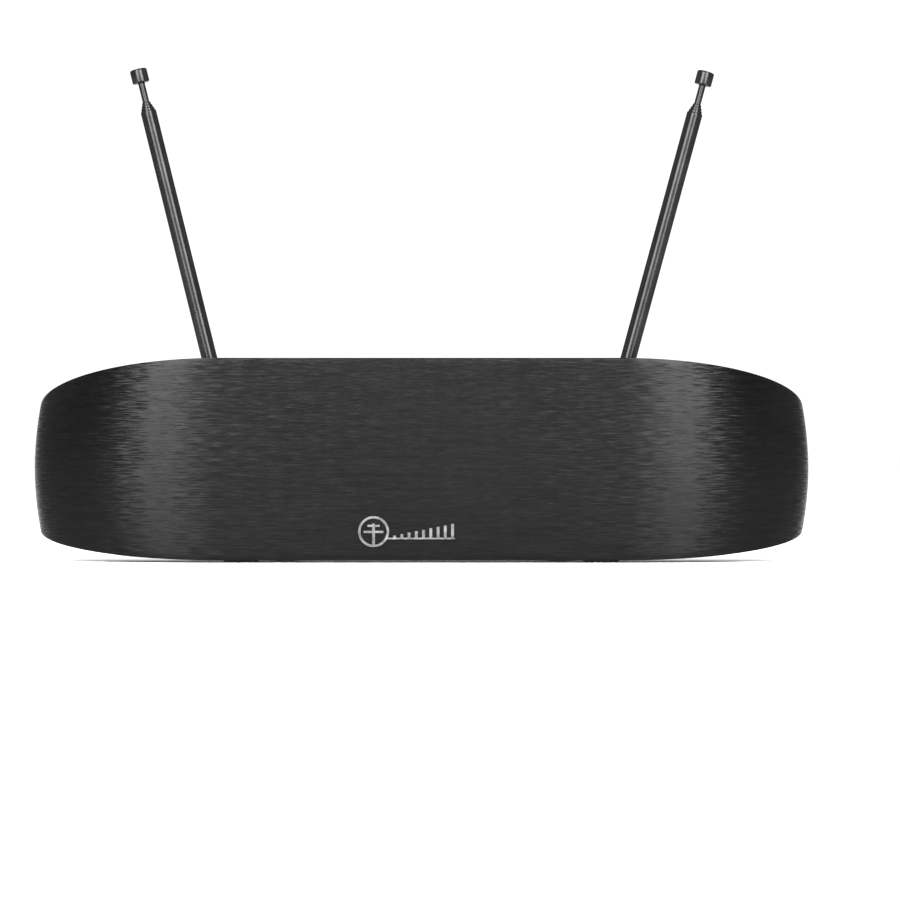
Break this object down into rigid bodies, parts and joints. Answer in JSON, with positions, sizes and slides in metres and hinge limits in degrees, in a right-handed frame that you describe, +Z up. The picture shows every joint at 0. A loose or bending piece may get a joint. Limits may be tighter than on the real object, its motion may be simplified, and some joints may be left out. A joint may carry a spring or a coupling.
{
  "type": "rabbit ears antenna",
  "caption": "Indoor antenna: a wide curved bar with telescopic rods that swivel and fold, swing-out feet, and a coaxial lead with an in-line amplifier.",
  "frame": {"origin": "on the table, under the middle of the box that holds the bar, its feet and its rods, without the lead and what is on it", "axes": "+X to the right seen from the front, +Y to the back, +Z up"},
  "size_m": [0.34, 0.1645, 0.2177],
  "materials": {
    "brushed_black": "black anodised, brushed along its length",
    "matte_black": "fine matte moulded plastic",
    "gunmetal": "black-plated drawn tube, satin",
    "badge_chrome": "bright, slightly satin",
    "steel": "zinc-plated",
    "nickel": "nickel-plated",
    "copper": "bare copper",
    "circuit_board": "glass-fibre board with solder resist",
    "soft_rubber": "matte",
    "cable_jacket": "satin vinyl jacket",
    "amp_plastic": "satin moulded plastic",
    "led_lens": "clear green lens"
  },
  "bodies": {
    "bar": {"brushed_fascia": "brushed_black", "front_housing": "matte_black", "rear_cover": "matte_black", "amp_end_cap_in": "matte_black", "amp_end_cap_out": "matte_black", "badge": "badge_chrome", "cover_screw_1": "steel", "cover_screw_2": "steel", "cover_screw_3": "steel", "cover_screw_4": "steel", "balun_shield": "nickel", "coax_jack": "nickel", "lead_in_plug": "nickel", "lead_out_plug": "nickel", "uhf_element_left": "copper", "uhf_element_right": "copper", "rod_wire_left": "copper", "rod_wire_right": "copper", "balun_board": "circuit_board", "amp_board": "circuit_board", "front_pad_left": "soft_rubber", "front_pad_right": "soft_rubber", "amp_grommet_in": "soft_rubber", "amp_grommet_out": "soft_rubber", "coil_tie": "soft_rubber", "lead_in": "cable_jacket", "lead_out": "cable_jacket", "lead_tail": "cable_jacket", "lead_coil": "cable_jacket", "amp_case": "amp_plastic", "amp_led": "led_lens"},
    "left_turret": {"turret_left": "matte_black", "turret_clip_left": "steel", "hinge_pin_left": "steel"},
    "left_rod": {"knuckle_left": "gunmetal", "section_1_left": "gunmetal"},
    "left_second_section": {"section_2_left": "gunmetal"},
    "left_third_section": {"section_3_left": "gunmetal"},
    "left_fourth_section": {"section_4_left": "gunmetal"},
    "left_tip": {"tip_rod_left": "gunmetal", "tip_cap_left": "gunmetal"},
    "left_foot": {"swing_foot_left": "matte_black", "foot_pad_left": "soft_rubber", "foot_screw_left": "steel"},
    "right_turret": {"turret_right": "matte_black", "turret_clip_right": "steel", "hinge_pin_right": "steel"},
    "right_rod": {"knuckle_right": "gunmetal", "section_1_right": "gunmetal"},
    "right_second_section": {"section_2_right": "gunmetal"},
    "right_third_section": {"section_3_right": "gunmetal"},
    "right_fourth_section": {"section_4_right": "gunmetal"},
    "right_tip": {"tip_rod_right": "gunmetal", "tip_cap_right": "gunmetal"},
    "right_foot": {"swing_foot_right": "matte_black", "foot_pad_right": "soft_rubber", "foot_screw_right": "steel"},
    "amp_switch": {"amp_switch_knob": "matte_black"},
    "jack_nut": {"lead_in_nut": "nickel"},
    "tail_nut": {"lead_out_nut": "nickel"}
  },
  "joints": [
    {"name": "left_swivel", "type": "hinge", "parent": "bar", "child": "left_turret", "pos_m": [-0.0824, 0.0159, 0.042], "axis": [0, -1, 0], "range_deg": [-18.9, 76.1]},
    {"name": "left_tilt", "type": "hinge", "parent": "left_turret", "child": "left_rod", "pos_m": [-0.0824, 0.0159, 0.042], "axis": [-0.9707, 0, -0.2402], "range_deg": [0, 90]},
    {"name": "left_second_section_slide", "type": "slide", "parent": "left_rod", "child": "left_second_section", "axis": [-0.2402, 0, 0.9707], "range_m": [0, 0.138]},
    {"name": "left_third_section_slide", "type": "slide", "parent": "left_second_section", "child": "left_third_section", "axis": [-0.2402, 0, 0.9707], "range_m": [0, 0.138]},
    {"name": "left_fourth_section_slide", "type": "slide", "parent": "left_third_section", "child": "left_fourth_section", "axis": [-0.2402, 0, 0.9707], "range_m": [0, 0.138]},
    {"name": "left_tip_slide", "type": "slide", "parent": "left_fourth_section", "child": "left_tip", "axis": [-0.2402, 0, 0.9707], "range_m": [-0.0085, 0.133]},
    {"name": "left_foot_swing", "type": "hinge", "parent": "bar", "child": "left_foot", "pos_m": [-0.06, -0.0036, 0.003], "axis": [0, 0, -1], "range_deg": [0, 90]},
    {"name": "right_swivel", "type": "hinge", "parent": "bar", "child": "right_turret", "pos_m": [0.0787, 0.0159, 0.042], "axis": [0, 1, 0], "range_deg": [-20.2, 74.8]},
    {"name": "right_tilt", "type": "hinge", "parent": "right_turret", "child": "right_rod", "pos_m": [0.0787, 0.0159, 0.042], "axis": [-0.965, 0, 0.2622], "range_deg": [0, 90]},
    {"name": "right_second_section_slide", "type": "slide", "parent": "right_rod", "child": "right_second_section", "axis": [0.2622, 0, 0.965], "range_m": [0, 0.138]},
    {"name": "right_third_section_slide", "type": "slide", "parent": "right_second_section", "child": "right_third_section", "axis": [0.2622, 0, 0.965], "range_m": [0, 0.138]},
    {"name": "right_fourth_section_slide", "type": "slide", "parent": "right_third_section", "child": "right_fourth_section", "axis": [0.2622, 0, 0.965], "range_m": [0, 0.138]},
    {"name": "right_tip_slide", "type": "slide", "parent": "right_fourth_section", "child": "right_tip", "axis": [0.2622, 0, 0.965], "range_m": [-0.0085, 0.133]},
    {"name": "right_foot_swing", "type": "hinge", "parent": "bar", "child": "right_foot", "pos_m": [0.06, -0.0036, 0.003], "axis": [0, 0, 1], "range_deg": [0, 90]},
    {"name": "amp_switch_slide", "type": "slide", "parent": "bar", "child": "amp_switch", "axis": [1, 0, 0], "range_m": [0, 0.003]},
    {"name": "jack_nut_spin", "type": "hinge", "parent": "bar", "child": "jack_nut", "pos_m": [0, 0.0204, 0.038], "axis": [0, 1, 0], "continuous": true},
    {"name": "tail_nut_spin", "type": "hinge", "parent": "bar", "child": "tail_nut", "pos_m": [-0.028, 0.0554, 0.0064], "axis": [1, 0, 0], "continuous": true}
  ]
}
